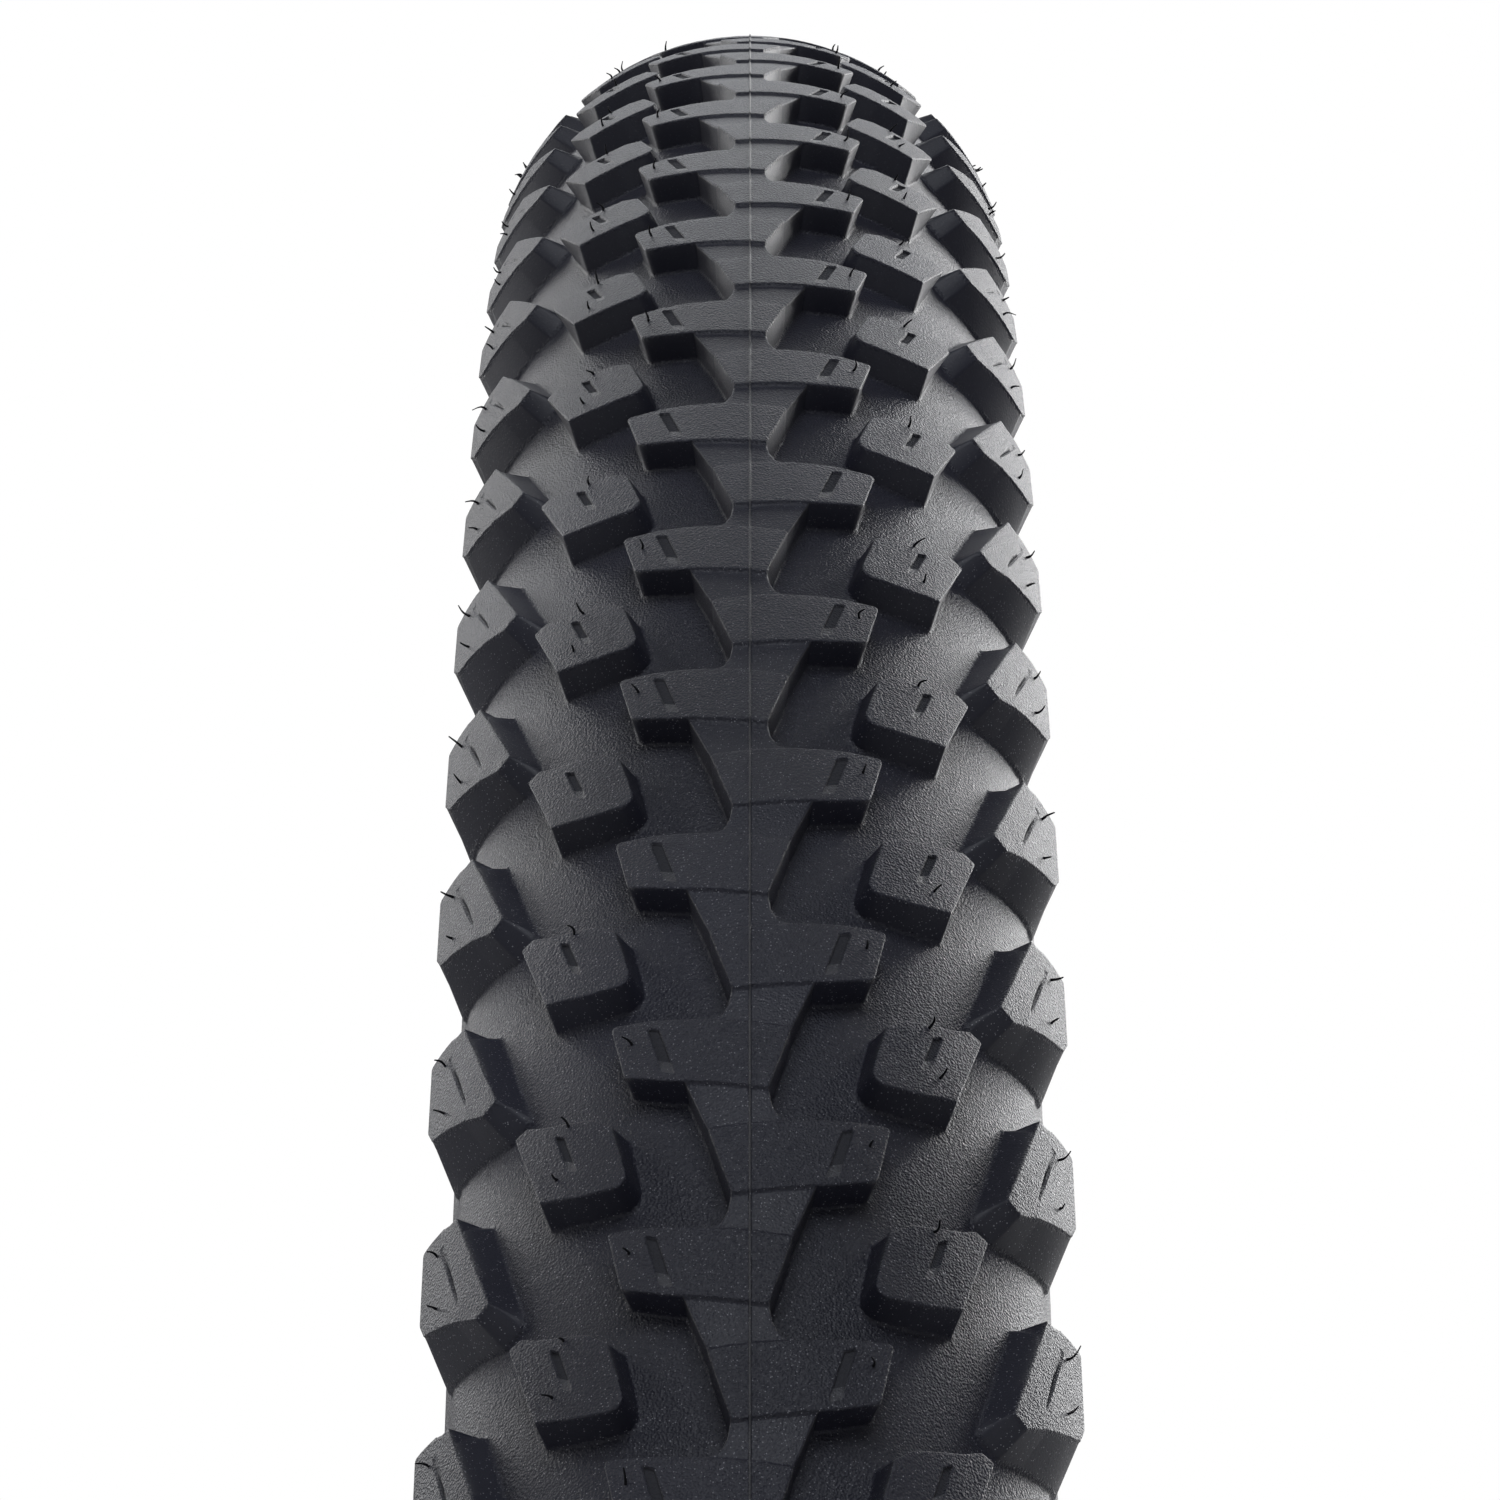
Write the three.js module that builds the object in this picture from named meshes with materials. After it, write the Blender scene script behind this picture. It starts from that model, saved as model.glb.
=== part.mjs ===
// Off-road bicycle tire for a 622 mm rim, 57 mm wide (57-622, about 29 x 2.25 inch).
//
// Frame: millimetres, origin at the wheel's centre, spin axis along Y, Z up.
// The front of the tire faces +X. The right half is at +Y, the left half at -Y.
//
// Every layer is a ring about Y. Its cross-section is drawn in the plane of the axis:
// r is the distance from the centre of the tire's round section, and phi is the angle
// from the crown, positive toward +Y.

import * as THREE from 'three';
import { mergeVertices } from 'three/addons/utils/BufferGeometryUtils.js';

// ---- Driving dimensions: the whole tire ----
const RIM_SEAT_RADIUS = 311;      // the rim's bead seat, 622 mm across
const OUTER_RADIUS = 368;         // over the center blocks
const BLOCK_TOP = 31.65;          // the section circle that all the block tops lie on
const SECTION_CENTER = OUTER_RADIUS - BLOCK_TOP;
const PITCHES = 100;              // the tread repeats this often round the wheel
const ROWS = 2 * PITCHES;         // in a pitch, one row leads to the right and one to the left
const ROW_ANGLE = 360 / ROWS;     // degrees round the wheel
const RING_SEGMENTS = 40;         // flats round each smooth layer

// ---- Driving dimensions: the layers, as section radii from outside to inside ----
const TREAD_OUTER = 28.5;
const CENTER_TREAD_INNER = 27.45;
const SHOULDER_TREAD_INNER = 26.9;
const BELT_OUTER = 27.15;
const BELT_INNER = 26.75;
const SIDEWALL_OUTER = 27.4;
const SIDEWALL_INNER = 26.75;
const OUTER_PLY_OUTER = 26.6;
const OUTER_PLY_INNER = 26.1;
const INNER_PLY_OUTER = 25.95;
const INNER_PLY_INNER = 25.45;
const PLY_THICKNESS = INNER_PLY_OUTER - INNER_PLY_INNER;

// ---- Driving dimensions: where each layer ends, degrees from the crown ----
const CENTER_TREAD_EDGE = 41.7;
const SHOULDER_TREAD_START = 42.3;
const SHOULDER_TREAD_EDGE = 69.8;
const SIDEWALL_START = 70.4;
const BELT_EDGE = 41;
const WALL_EDGE = 126;            // sidewall rubber and outer ply stop above the bead
const CHAFER_EDGE = 128;
const ARC_BREAKS = [14, 42, 70, 98];   // between the flats that every layer's arc shares

// ---- Driving dimensions: the bead, at the right side ----
const CORE_WHEEL_RADIUS = 314;    // the steel core's middle, from the wheel's axis
const CORE_OFFSET = 12.6;         // the same point, from the wheel's middle plane
const CORE_HALF_SIZE = 1;
const CORE_GAP = 0.15;            // between the core and the ply that wraps it
const BEAD_FACE = 15;             // the flat that bears on the rim's flange
const BEAD_FACE_TOP = 316.3;
const BEAD_FACE_BOTTOM = 312;
const BEAD_HEEL = 14.2;
const BEAD_TOE = 10.2;
const CHAFER_THICKNESS = 0.6;
const CHAFER_FLOOR = 312.2;       // the chafer's inner face under the core
const CHAFER_FLAP_TOP = 315;

// ---- Tread pattern: corners as [phi, t] ----
// phi runs outward over the block's own half of the tire. t counts rows from the block
// row's leading edge toward its trailing edge. Corners go round counterclockwise.
const CENTER_BLOCK = [[9.9, 0], [19.5, 0.18], [23.1, 0.76], [3.5, 0.85], [-9.9, 1], [-3.5, -0.15]];
const CENTER_BLOCK_FREE_SIDES = 4;    // the first corners; the next rows' blocks join the others
const INTERMEDIATE_BLOCK = [[20, 0.17], [35.3, 0.25], [40, 1.02], [22.8, 0.8]];
const SHOULDER_BLOCK = [[46, -0.5], [66.4, -0.25], [67.8, 0.68], [55.5, 0.66]];
const INTERMEDIATE_FLARE = 1.06;      // how much wider a block is at its root than at its top
const SHOULDER_FLARE = 1.12;
const CENTER_SEAM_SLANT = 0.5;        // the pitch's end line passes between the blocks

// ---- Materials ----
const plain = (color, roughness) => new THREE.MeshStandardMaterial({ color, roughness, metalness: 0 });
const treadRubber = plain(0x2b2c2f, 0.62);
const shoulderRubber = plain(0x303134, 0.6);
const sidewallRubber = plain(0x3a3b3d, 0.45);
const beltRubber = plain(0x35506b, 0.7);
const outerPlyFabric = plain(0x4a4238, 0.85);
const innerPlyFabric = plain(0x5a5146, 0.85);
const chaferFabric = plain(0x242424, 0.8);
const steel = new THREE.MeshStandardMaterial({ color: 0xb08d57, roughness: 0.35, metalness: 1 });

// ---- Smooth layers ----

// A corner of a layer's cross-section: x is the wheel radius and y runs along the axis.
const corner = (wheelRadius, offset) => new THREE.Vector2(wheelRadius, offset);

function arcCorner(r, phi) {
  const angle = THREE.MathUtils.degToRad(phi);
  return corner(SECTION_CENTER + r * Math.cos(angle), r * Math.sin(angle));
}

// The arc from the low angle to the high one, with the shared breaks that lie between.
function arc(r, low, high) {
  const breaks = [...ARC_BREAKS.map((phi) => -phi).reverse(), ...ARC_BREAKS];
  const between = breaks.filter((phi) => phi > low && phi < high);
  return [low, ...between, high].map((phi) => arcCorner(r, phi));
}

// A layer of even thickness: its outer face, then its inner face back again.
function layer(outer, inner, low, high) {
  return [...arc(outer, low, high), ...arc(inner, low, high).reverse()];
}

const mirrored = (profile) => profile.map((p) => corner(p.x, -p.y)).reverse();

// A closed ring swept round the wheel from a closed cross-section.
function ring(profile) {
  return welded(new THREE.LatheGeometry([...profile, profile[0]], RING_SEGMENTS));
}

function welded(geometry) {
  geometry.deleteAttribute('normal');
  geometry.deleteAttribute('uv');
  return mergeVertices(geometry);
}

// ---- Bead, drawn for the right side ----

// A square round the steel core's middle.
function coreSquare(halfSize) {
  const corners = [[1, 1], [-1, 1], [-1, -1], [1, -1]];
  return corners.map(([up, out]) => corner(
    CORE_WHEEL_RADIUS + up * halfSize, CORE_OFFSET + out * halfSize));
}

// The inner ply's end: down the core's inner side, under it and up its outer side.
function plyHook() {
  const near = CORE_HALF_SIZE + CORE_GAP;
  const far = near + PLY_THICKNESS;
  const flapTop = CORE_WHEEL_RADIUS + CORE_HALF_SIZE;
  const elbowTop = CORE_WHEEL_RADIUS + far;
  const nearSquare = coreSquare(near);
  const farSquare = coreSquare(far);
  return [
    nearSquare[3], nearSquare[2], nearSquare[1], corner(flapTop, CORE_OFFSET + near),
    corner(flapTop, CORE_OFFSET + far), farSquare[1], farSquare[2],
    corner(elbowTop, CORE_OFFSET - far),
  ];
}

function innerPly() {
  const hook = plyHook();
  return [
    ...arc(INNER_PLY_OUTER, -WALL_EDGE, WALL_EDGE), ...hook,
    ...arc(INNER_PLY_INNER, -WALL_EDGE, WALL_EDGE).reverse(), ...mirrored(hook),
  ];
}

// The chafer wraps the bead where it rubs on the rim: down the flange face, under the
// core and up the inside.
function chafer() {
  const wall = BEAD_FACE - CHAFER_THICKNESS;
  const flap = BEAD_TOE + CHAFER_THICKNESS;
  return [
    arcCorner(SIDEWALL_OUTER, CHAFER_EDGE),
    corner(BEAD_FACE_TOP, BEAD_FACE),
    corner(BEAD_FACE_BOTTOM, BEAD_FACE),
    corner(RIM_SEAT_RADIUS, BEAD_HEEL),
    corner(RIM_SEAT_RADIUS, BEAD_TOE),
    corner(CHAFER_FLAP_TOP, BEAD_TOE),
    corner(CHAFER_FLAP_TOP, flap),
    corner(CHAFER_FLOOR, flap),
    corner(CHAFER_FLOOR, wall),
    corner(BEAD_FACE_TOP, wall),
    arcCorner(OUTER_PLY_INNER, CHAFER_EDGE),
  ];
}

// ---- Tread strips ----

// A point of the tread in the wheel's frame.
function treadPoint(r, phi, row) {
  const section = THREE.MathUtils.degToRad(phi);
  const turn = THREE.MathUtils.degToRad(row * ROW_ANGLE);
  const wheelRadius = SECTION_CENTER + r * Math.cos(section);
  return new THREE.Vector3(
    wheelRadius * Math.cos(turn), r * Math.sin(section), wheelRadius * Math.sin(turn));
}

// Gathers the faces of one strip. Each face is given by corners [phi, t] on one side of
// the tire, counted from one row, and faces outward where its corners go counterclockwise.
class Strip {
  constructor() {
    this.points = [];
  }

  place(side, row) {
    this.side = side;
    this.row = row;
  }

  triangle(corners) {
    const points = corners.map(([r, phi, t]) => treadPoint(r, this.side * phi, this.row + t));
    if (this.side < 0) points.reverse();
    this.points.push(...points);
  }

  quad(a, b, c, d) {
    this.triangle([a, b, c]);
    this.triangle([a, c, d]);
  }

  // A sheet at one section radius, with or without a hole in it.
  sheet(r, outline, hole = []) {
    const toVectors = (corners) => corners.map(([phi, t]) => new THREE.Vector2(phi, t));
    const corners = [...outline, ...hole];
    const holes = hole.length > 0 ? [toVectors(hole)] : [];
    for (const face of THREE.ShapeUtils.triangulateShape(toVectors(outline), holes)) {
      const flat = toVectors(face.map((index) => corners[index]));
      if (THREE.ShapeUtils.isClockWise(flat)) face.reverse();
      this.triangle(face.map((index) => [r, ...corners[index]]));
    }
  }

  // A wall from a line of root corners up to a line of top corners.
  wall(rootRadius, root, topRadius, top) {
    for (let i = 0; i + 1 < root.length; i += 1) {
      this.quad([rootRadius, ...root[i]], [rootRadius, ...root[i + 1]],
        [topRadius, ...top[i + 1]], [topRadius, ...top[i]]);
    }
  }

  // A free-standing block on the floor of the tread.
  block(outline, root) {
    this.sheet(BLOCK_TOP, outline);
    this.wall(TREAD_OUTER, [...root, root[0]], BLOCK_TOP, [...outline, outline[0]]);
  }

  geometry() {
    return welded(new THREE.BufferGeometry().setFromPoints(this.points));
  }
}

const shifted = (corners, rows) => corners.map(([phi, t]) => [phi, t + rows]);

// A block's outline at its root.
function flared(outline, flare) {
  const middle = [0, 1].map((axis) => outline.reduce((sum, c) => sum + c[axis], 0) / outline.length);
  return outline.map((c) => c.map((value, axis) => middle[axis] + flare * (value - middle[axis])));
}

// The center strip: a zigzag rib of joined blocks along the middle, and a line of
// free-standing blocks to each side. Right rows are even and left rows are odd.
function centerTread() {
  const strip = new Strip();
  const edge = CENTER_TREAD_EDGE;
  const middleBreak = ARC_BREAKS[0];
  const free = CENTER_BLOCK.slice(0, CENTER_BLOCK_FREE_SIDES);
  const nextStart = [free[0][0], free[0][1] + 2];
  const ribSide = [...free, nextStart];
  const start = CENTER_SEAM_SLANT;
  const end = start + 2;
  const beside = shifted(INTERMEDIATE_BLOCK, 1);
  const besideRoot = flared(beside, INTERMEDIATE_FLARE);
  for (let row = 0; row < ROWS; row += 1) {
    strip.place(row % 2 === 0 ? 1 : -1, row);
    strip.sheet(BLOCK_TOP, CENTER_BLOCK);
    strip.wall(TREAD_OUTER, ribSide, BLOCK_TOP, ribSide);
    strip.block(beside, besideRoot);
    strip.sheet(TREAD_OUTER, [[edge, start], [edge, end], ...[...ribSide].reverse()], besideRoot);
    strip.wall(CENTER_TREAD_INNER, [[edge, start], [edge, end]], TREAD_OUTER, [[edge, start], [edge, end]]);
    strip.quad([CENTER_TREAD_INNER, middleBreak, start], [CENTER_TREAD_INNER, middleBreak, end],
      [CENTER_TREAD_INNER, edge, end], [CENTER_TREAD_INNER, edge, start]);
    strip.triangle([[CENTER_TREAD_INNER, middleBreak, start], [CENTER_TREAD_INNER, -middleBreak, start + 1],
      [CENTER_TREAD_INNER, middleBreak, end]]);
  }
  return strip.geometry();
}

// A shoulder strip: one line of big blocks.
function shoulderTread(side) {
  const strip = new Strip();
  const inner = SHOULDER_TREAD_START;
  const outer = SHOULDER_TREAD_EDGE;
  const root = flared(SHOULDER_BLOCK, SHOULDER_FLARE);
  const innerEdge = [[inner, 1], [inner, -1]];
  const outerEdge = [[outer, -1], [outer, 1]];
  const firstRow = side > 0 ? 1 : 0;
  for (let row = firstRow; row < ROWS; row += 2) {
    strip.place(side, row);
    strip.block(SHOULDER_BLOCK, root);
    strip.sheet(TREAD_OUTER, [...innerEdge, ...outerEdge], root);
    strip.wall(SHOULDER_TREAD_INNER, innerEdge, TREAD_OUTER, innerEdge);
    strip.wall(SHOULDER_TREAD_INNER, outerEdge, TREAD_OUTER, outerEdge);
    const [a, b, c, d] = [...innerEdge, ...outerEdge].map((c) => [SHOULDER_TREAD_INNER, ...c]);
    strip.quad(a, d, c, b);
  }
  return strip.geometry();
}

// ---- The tire ----

const tire = new THREE.Group();

function addPiece(name, geometry, material) {
  const mesh = new THREE.Mesh(geometry, material);
  mesh.name = name;
  tire.add(mesh);
}

addPiece('tread_center', centerTread(), treadRubber);
addPiece('puncture_belt', ring(layer(BELT_OUTER, BELT_INNER, -BELT_EDGE, BELT_EDGE)), beltRubber);
addPiece('carcass_ply_outer',
  ring(layer(OUTER_PLY_OUTER, OUTER_PLY_INNER, -WALL_EDGE, WALL_EDGE)), outerPlyFabric);
addPiece('carcass_ply_inner', ring(innerPly()), innerPlyFabric);

for (const [name, side] of [['right', 1], ['left', -1]]) {
  const onSide = (profile) => (side > 0 ? profile : mirrored(profile));
  const sidewall = layer(SIDEWALL_OUTER, SIDEWALL_INNER, SIDEWALL_START, WALL_EDGE);
  addPiece(`tread_shoulder_${name}`, shoulderTread(side), shoulderRubber);
  addPiece(`sidewall_${name}`, ring(onSide(sidewall)), sidewallRubber);
  addPiece(`chafer_${name}`, ring(onSide(chafer())), chaferFabric);
  addPiece(`bead_core_${name}`, ring(onSide(coreSquare(CORE_HALF_SIZE))), steel);
}

export default tire;
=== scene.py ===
"""An off-road bicycle tire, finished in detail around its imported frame.

The tread and sidewalls are one moulded skin. It is drawn flat first: x runs round the section
from the crown, in millimetres of arc over the block tops, and y runs round the wheel, in
millimetres at the crown. One pitch of it is meshed, repeated round the wheel and cut into the
frame's pieces. The inner layers are turned from their cross-sections.
"""
import math
import random

import bpy
import numpy as np
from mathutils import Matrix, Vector, geometry, kdtree


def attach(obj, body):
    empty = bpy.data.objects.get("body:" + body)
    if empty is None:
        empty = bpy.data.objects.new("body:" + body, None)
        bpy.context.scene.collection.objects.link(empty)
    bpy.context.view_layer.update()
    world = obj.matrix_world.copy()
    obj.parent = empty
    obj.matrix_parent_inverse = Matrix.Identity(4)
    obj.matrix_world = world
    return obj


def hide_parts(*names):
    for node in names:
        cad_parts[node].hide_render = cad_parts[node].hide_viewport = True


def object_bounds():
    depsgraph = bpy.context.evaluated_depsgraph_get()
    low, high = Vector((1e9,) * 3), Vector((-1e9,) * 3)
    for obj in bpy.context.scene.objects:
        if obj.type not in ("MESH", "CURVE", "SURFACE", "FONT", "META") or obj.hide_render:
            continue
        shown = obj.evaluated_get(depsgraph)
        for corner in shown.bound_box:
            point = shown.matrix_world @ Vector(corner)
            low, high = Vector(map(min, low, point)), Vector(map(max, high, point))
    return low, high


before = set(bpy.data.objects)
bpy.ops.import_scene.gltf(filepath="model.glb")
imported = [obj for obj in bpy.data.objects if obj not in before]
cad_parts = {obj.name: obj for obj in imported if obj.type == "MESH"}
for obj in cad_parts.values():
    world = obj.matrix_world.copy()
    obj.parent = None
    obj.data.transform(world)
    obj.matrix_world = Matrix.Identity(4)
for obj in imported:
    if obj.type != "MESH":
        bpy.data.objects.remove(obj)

cad_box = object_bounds()
MM = 0.001
# In drawings: a number that stands for nothing, a touching distance and a small margin.
TINY, TOUCH, MARGIN = 1e-9, 0.02, 0.1

# ---- Sizes of the tire, in millimetres and degrees, as in the frame ----
OUTER_RADIUS = 368.0
BLOCK_TOP = 31.65
SECTION_CENTER = OUTER_RADIUS - BLOCK_TOP
PITCHES = 100
ROW_ANGLE = 360 / (2 * PITCHES)
RAMP_TOP = 31.32
TREAD_FLOOR = 28.5
SIDEWALL_OUTER = 27.4
SHOULDER_EDGE = 78.0
CENTER_EDGE = 42.0
WALL_EDGE = 126.0
CENTER_INNER = 27.45
SHOULDER_INNER = 26.9
SIDEWALL_INNER = 26.75
ARC_MM = math.radians(1) * BLOCK_TOP
ROW_MM = math.radians(ROW_ANGLE) * OUTER_RADIUS
PITCH_MM = 2 * ROW_MM
# The tread's floor falls to the sidewall between these section angles.
FALL_START, FALL_END = 64.0, SHOULDER_EDGE - 1

# ---- Tread blocks: corners as (phi, t, rounding), counterclockwise ----
# phi is in degrees outward from the crown, t in rows from the leading edge, rounding in mm.
CENTER_TOP = [(-2.9, -0.02, 0.35), (12.7, 0.095, 8), (20.6, 0.21, 0.9), (23.1, 0.765, 0.45),
              (16.6, 0.74, 3), (-6.8, 0.6, 0.35)]
RAMP = [(-5.9, 0.5, 0.3), (5.6, 0.5, 0.3), (6.6, 0.7, 0.3), (4.6, 0.735, 0.3), (3.5, 0.85, 0.6),
        (2.7, 1.1, 0.3), (-11.1, 1.15, 0.3)]
INTERMEDIATE_TOP = [(19.2, 0.16, 1.3), (28, 0.175, 6), (35.6, 0.25, 0.35), (41.3, 1.01, 0.35),
                    (38.6, 1.06, 0.3), (35, 0.985, 2), (26, 0.89, 0.5), (22.6, 0.77, 0.5)]
INTERMEDIATE_ROOT = [(18.6, 0.11, 1.6), (28, 0.115, 6), (37.3, 0.18, 0.5), (41.9, 1.03, 0.5),
                     (38.9, 1.09, 0.5), (35, 1.02, 2), (25.7, 0.93, 0.7), (21.8, 0.79, 0.7)]
SHOULDER_TOP = [(45.7, -0.465, 0.35), (49, -0.535, 0.35), (54.5, -0.41, 4), (66, -0.21, 0.5),
                (68.2, -0.04, 0.6), (67.9, 0.685, 0.5), (55.5, 0.66, 0.35)]
SHOULDER_ROOT = [(42.8, -0.6, 0.8), (47.7, -0.72, 0.8), (54.5, -0.66, 4), (70.8, -0.55, 1.2),
                 (75, -0.2, 1.2), (75.4, 0.75, 1), (52.8, 0.58, 0.7)]
# Radii at a block's top edge and at its root, and how far the centre blocks' walls lean out.
EDGE_ROUND = 0.2
ROOT_ROUND = 0.38
CENTER_DRAFT = 0.22
# The blocks' top edges get wear and a painted highlight from this share of the way along a
# block, so that its leading edge gets none. The mark reaches this far in mm to either side of
# the top's outline and down from the top.
WEAR_AND_HIGHLIGHT_FROM, WEAR_AND_HIGHLIGHT_REACH, WEAR_AND_HIGHLIGHT_DEPTH = 0.25, 0.5 * EDGE_ROUND, 1.2 * EDGE_ROUND

# ---- Sipes and slits in the block tops: the first two corners are the outer side ----
# Depths are pairs: share of the length from the leading end, and mm. A sipe starts with a
# sloping ledge and then drops to its floor. A slit's floor slopes up from its outer wall.
CENTER_SIPE = [(14.2, 0.2, 0.1), (16.8, 0.665, 0.1), (14.7, 0.625, 0.1), (12, 0.16, 0.1)]
CENTER_SIPE_FLOOR = [(14.1, 0.205, 0.1), (16.68, 0.655, 0.1), (14.78, 0.618, 0.1),
                     (12.12, 0.168, 0.1)]
CENTER_SIPE_DEPTHS = [(0, 0), (0.27, 0.17), (0.29, 0.26), (1, 0.26)]
INTERMEDIATE_SIPE = [(30.3, 0.465, 0.1), (33.1, 0.86, 0.1), (31, 0.8, 0.1), (28.3, 0.41, 0.2)]
INTERMEDIATE_SIPE_FLOOR = [(30.2, 0.472, 0.1), (32.97, 0.853, 0.1), (31.45, 0.806, 0.1),
                           (28.85, 0.43, 0.1)]
INTERMEDIATE_SIPE_DEPTHS = [(0, 0), (0.3, 0.15), (0.32, 0.3), (1, 0.3)]
SHOULDER_SLIT = [(54.4, -0.235, 0.05), (60.6, 0.475, 0.1), (58.9, 0.487, 0.1), (53.8, -0.24, 0.05)]
SLIT_DEPTHS = [(0, 0), (0.2, 0.4), (0.42, 0.5), (0.6, 0.3), (0.75, 0.17), (1, 0.1)]
# Widths in mm of a slit's steep outer wall and of its whole sloping floor.
SLIT_WALL, SLIT_WIDTH = 0.14, 1.0
# Shares of a slit's length at which the foot of that wall has points.
SLIT_FOOT = np.linspace(0.12, 0.97, 7)
# A ring of points this far in mm outside every rim and inside every floor keeps them sharp.
SIPE_BRIM = 0.13
SIPE_STEP = 1.8
# Deeper than this, in mm, a cut is matt, and its floor takes a lighter colour as a painted sheen.
MATT_DEPTH, MATT_SOFT = 0.19, 0.03

# ---- Ridges right round the tire, in mm: the mould's flash line on the crown, and the ribs ----
FLASH_HALF, FLASH_HEIGHT, FLASH_FOOT = 0.14, 0.2, 0.05
# Each rib is (phi, half width, height).
SIDE_RIBS = [(98.0, 0.12, 0.1), (116.0, 0.35, 0.28), (120.5, 0.5, 0.45)]
# The slope of a ridge's sides, and about how much of its half width is flat.
RIDGE_SLOPE, FLASH_TOP, RIB_TOP = 1.4, 0.3, 0.28

# ---- Mesh of one pitch, in millimetres ----
# The rows that are drawn, so that the middle pitch has all its neighbours.
DRAWN_ROWS = range(-5, 8)
LINE_STEP = 2.3
# A corner's smallest radius, and the share of its shorter side that its arc may take.
LEAST_RADIUS, CORNER_ROOM = 0.04, 0.42
# A corner is sharp up to the first rounding in mm, and small up to the second or this turn.
SHARP, SMALL_ROUNDING, SMALL_TURN = 0.1, 0.6, 0.3
# The share of an edge's rounding at which its middle loop is drawn.
ROUND_SPLIT = 0.3
# Points between the lines: their spacing across, their number along, and their jitter.
LOOSE_STEP, LOOSE_ROWS, LOOSE_JITTER = 2.4, 9, 0.3
# How far they keep from the skin's edge, the ring lines, the blocks' edges and the cuts.
EDGE_GAP, LINE_GAP, BLOCK_GAP, CUT_GAP = 0.7, 0.6, 0.55, 0.5
WOBBLES, WOBBLE, MERGE = 400, 2e-4, 1e-6
# Where a ring line's points and the middle pitch start, clear of every other drawn point.
RING_START, PITCH_START = 0.731, 0.317
# Steps round the wheel of a turned ring, and degrees between the rings of an inner face.
RING_STEPS, INNER_STEP = 400, 7

# ---- Vent hairs: (phi, t, 1 on the row's own side or -1, share kept, length in mm) ----
HAIRS = [(19.3, 0.53, 1, 0.8, 1.1), (30.3, 0.89, -1, 0.8, 1.1), (32.2, 0.42, -1, 0.6, 0.9),
         (61.7, 0.45, -1, 0.95, 1.2), (61.2, -0.08, -1, 0.9, 1.0)]
HAIR_RADIUS, HAIR_TAPER, HAIR_SINK, HAIR_BEND = 0.15, 0.5, 0.1, 2.5
HAIR_STEPS, HAIR_SIDES = 6, 5
# Ranges of a hair's share of its usual length, its lean round and across, and its curl.
HAIR_LENGTHS, HAIR_LEAN_ROUND, HAIR_LEAN_ACROSS = (0.7, 1.25), (0, 0.6), (-0.3, 0.4)
HAIR_CURL = (-0.4, 0.4)

# ---- The layers under the rubber, and the right bead, in millimetres and degrees ----
# Layers are given by section radii. The bead's numbers are offsets from the middle plane and
# radii from the axle.
BELT_OUTER, BELT_INNER, BELT_EDGE = 27.15, 26.75, 41
OUTER_PLY_OUTER, OUTER_PLY_INNER = 26.6, 26.1
INNER_PLY_OUTER, INNER_PLY_INNER = 25.95, 25.45
PLY_THICKNESS = INNER_PLY_OUTER - INNER_PLY_INNER
PLY_EDGE = 126.0
CORE_WHEEL_RADIUS, CORE_OFFSET, CORE_HALF, CORE_GAP = 314, 12.6, 1, 0.15
WIRE_RADIUS = CORE_HALF / 2
# The wires are a little thinner than their spacing, so that they don't touch.
WIRE_FILL, WIRE_SIDES = 0.96, 12
BEAD_FACE, BEAD_HEEL, BEAD_TOE = 15, 14.2, 10.2
CHAFER_THICKNESS, CHAFER_TOE_RADIUS, CHAFER_FLOOR_RISE, CHAFER_INNER = 0.6, 311, 1.2, 26.1
FACE_LOW, FACE_HIGH, FLAP_TOP = 312, 316.3, 315
CHAFER_ROUNDINGS = [0.3, 0.5, 0.4, 2.5, 0.12, 0.12, 2, 0.3, 0.3, 0.2, 0.2]
HOOK_ROUNDINGS = [0.8, 0.6, 0.6, 0.15, 0.15, 0.15, 0.15, 0.5]
# Spacing of a profile's points, in mm on straight parts and in degrees on arcs.
PROFILE_STEP, ARC_STEP = 4.0, 3.0
# The chafer's flange side starts this many degrees past the sidewall's edge.
CHAFER_START = 0.25
CLOTH_EDGE_EASE = 0.12

# ---- The cloths: colours of cord and gap, spacing in metres, angle, and if it is two-way ----
PLY_CLOTH = ((0.075, 0.068, 0.06), (0.02, 0.019, 0.018), 0.0007, 45, False)
BELT_CLOTH = ((0.05, 0.09, 0.14), (0.02, 0.03, 0.045), 0.0009, 30, True)
CHAFER_CLOTH = ((0.03, 0.03, 0.031), (0.012, 0.012, 0.013), 0.0008, 45, True)
# The period of Blender's wave texture at scale 1.
WAVE_PERIOD = math.pi / 10
STAIN, FUZZ_DEPTH, THREAD_DEPTH = 0.7, 0.00004, 0.0001
WIRE_DARK, WIRE_LIGHT = (0.42, 0.26, 0.12), (0.62, 0.42, 0.22)
WIRE_STRETCH, WIRE_DEPTH = (1, 1, 14), 0.00003
# Most of a noise's values lie in this range.
NOISE_RANGE = (0.3, 0.7)

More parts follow.
